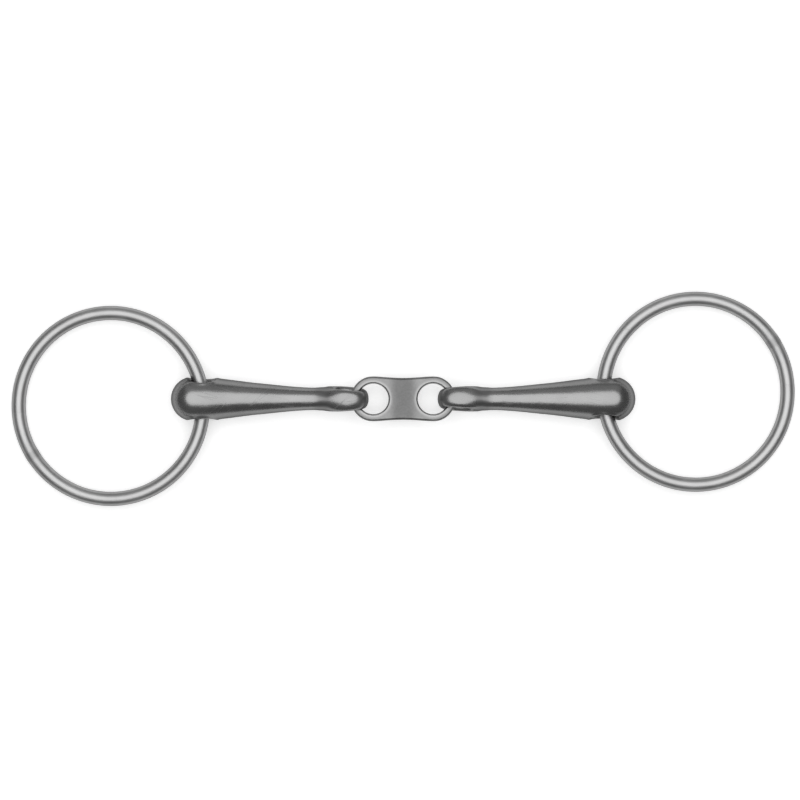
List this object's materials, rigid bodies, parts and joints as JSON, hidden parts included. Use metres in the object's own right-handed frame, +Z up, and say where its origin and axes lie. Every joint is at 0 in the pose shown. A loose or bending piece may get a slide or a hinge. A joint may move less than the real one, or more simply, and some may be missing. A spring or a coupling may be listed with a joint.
{
  "type": "snaffle bit",
  "caption": "Loose-ring snaffle bit with a double-jointed mouthpiece: tapered steel arms hooked into a flat middle link, and a round wire ring through each outer end.",
  "frame": {"origin": "on the surface that the bit lies on, under the middle of the link", "axes": "+X from the link to the right ring, +Y along the ring holes, +Z up from the surface"},
  "size_m": [0.2744, 0.075, 0.0154],
  "materials": {
    "link_steel": "stainless steel, soft satin polish",
    "arm_steel": "stainless steel, bright polish",
    "ring_steel": "stainless steel wire, bright polish"
  },
  "bodies": {
    "link": {"french_link": "link_steel"},
    "left_arm": {"left_arm": "arm_steel"},
    "right_arm": {"right_arm": "arm_steel"},
    "left_ring": {"left_ring": "ring_steel"},
    "right_ring": {"right_ring": "ring_steel"}
  },
  "joints": [
    {"name": "left_arm_fold", "type": "hinge", "parent": "link", "child": "left_arm", "pos_m": [-0.0104, 0, 0.00775], "axis": [0, 0, -1], "range_deg": [-60, 60]},
    {"name": "right_arm_fold", "type": "hinge", "parent": "link", "child": "right_arm", "pos_m": [0.0104, 0, 0.00775], "axis": [0, 0, 1], "range_deg": [-60, 60]},
    {"name": "left_ring_swing", "type": "hinge", "parent": "left_arm", "child": "left_ring", "pos_m": [-0.07, 0, 0.00775], "axis": [-0.0767, 0.9971, 0], "range_deg": [-120, 120]},
    {"name": "right_ring_swing", "type": "hinge", "parent": "right_arm", "child": "right_ring", "pos_m": [0.07, 0, 0.00775], "axis": [0.0767, -0.9971, 0], "range_deg": [-120, 120]}
  ]
}
